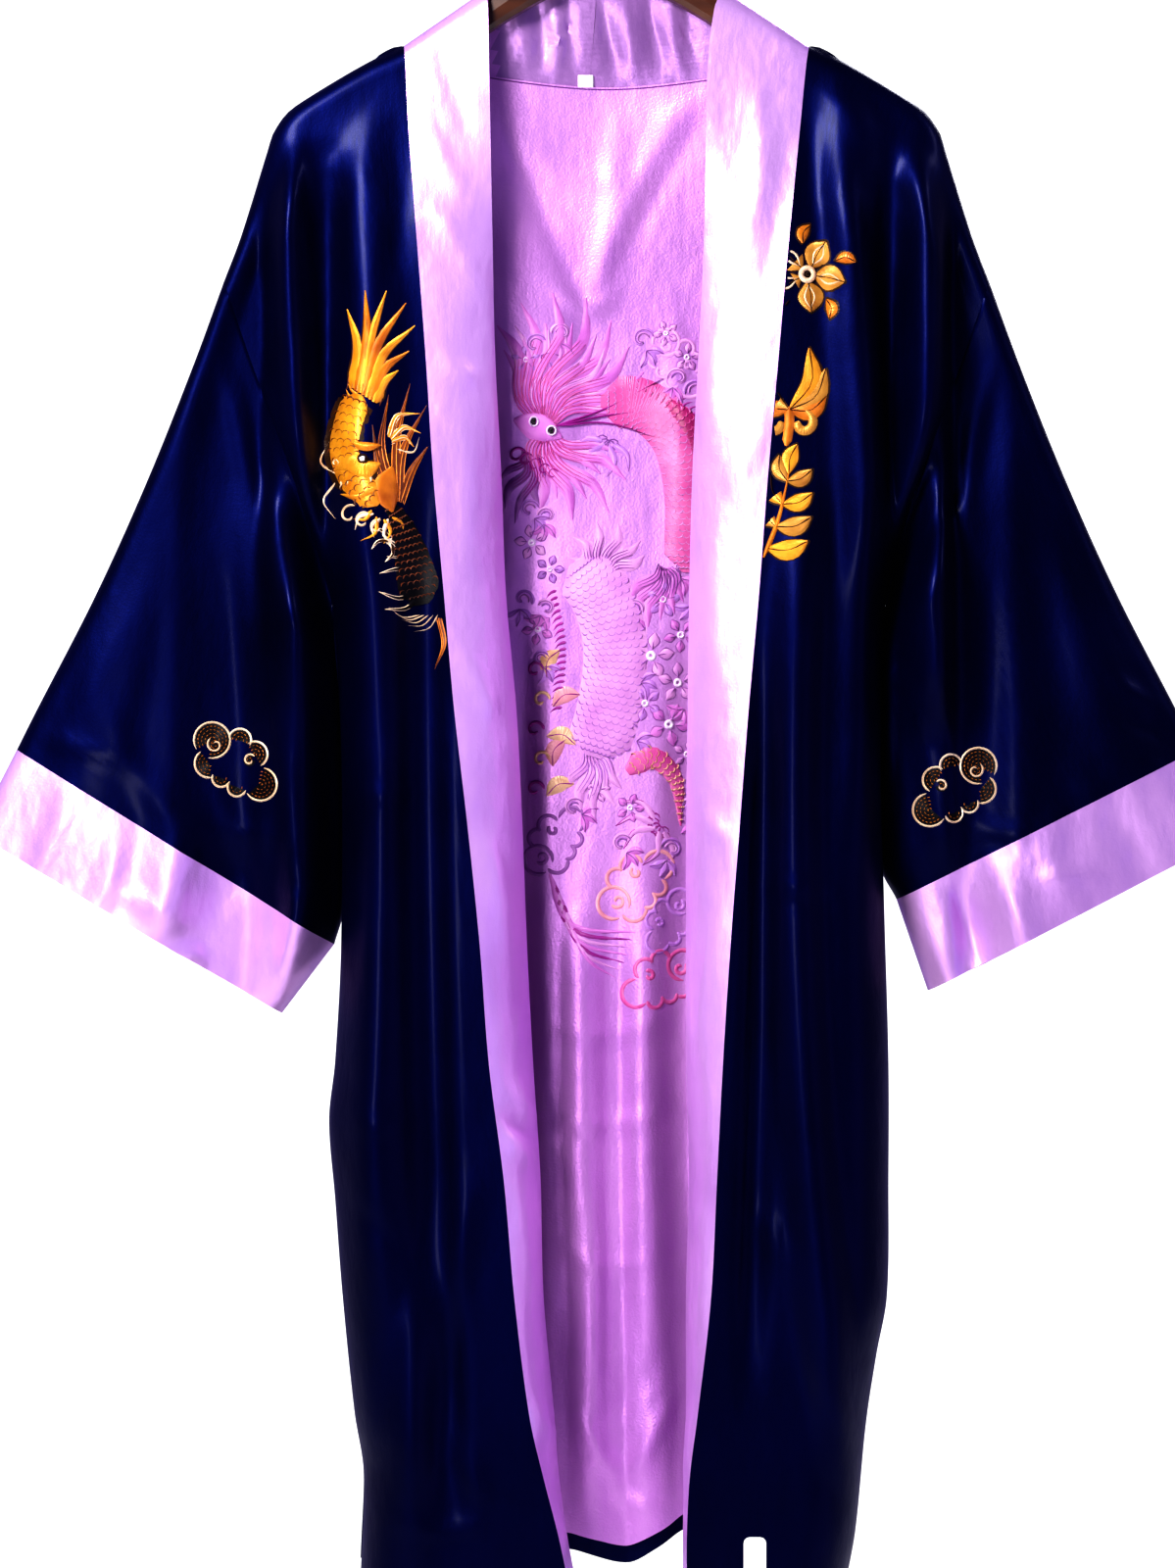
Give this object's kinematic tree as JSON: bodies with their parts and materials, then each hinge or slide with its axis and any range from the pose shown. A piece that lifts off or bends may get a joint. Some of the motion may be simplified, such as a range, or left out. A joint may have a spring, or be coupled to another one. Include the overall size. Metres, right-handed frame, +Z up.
{
  "type": "kimono robe on a wooden hanger",
  "caption": "Long open-front satin robe with wide sleeves, deep cuffs and a broad band round the neck and fronts, hanging on a curved wooden hanger with a steel hook",
  "frame": {"origin": "the inside top of the hanger's hook, where a rail holds it", "axes": "+Z up; the robe's front faces -Y; the wearer's right is at -X"},
  "size_m": [0.842, 0.1171, 1.158],
  "materials": {
    "shell": "satin",
    "lilac": "satin",
    "label": "matte",
    "wood": "varnished",
    "steel": "polished"
  },
  "bodies": {
    "root": {"back": "shell", "front_right": "shell", "front_left": "shell", "sleeve_right": "shell", "sleeve_left": "shell", "back_lining": "lilac", "band_right": "lilac", "band_left": "lilac", "cuff_right": "lilac", "cuff_left": "lilac", "neck_label": "label", "hanger_wood": "wood", "hanger_hook": "steel", "hanger_ferrule": "steel"}
  },
  "joints": []
}
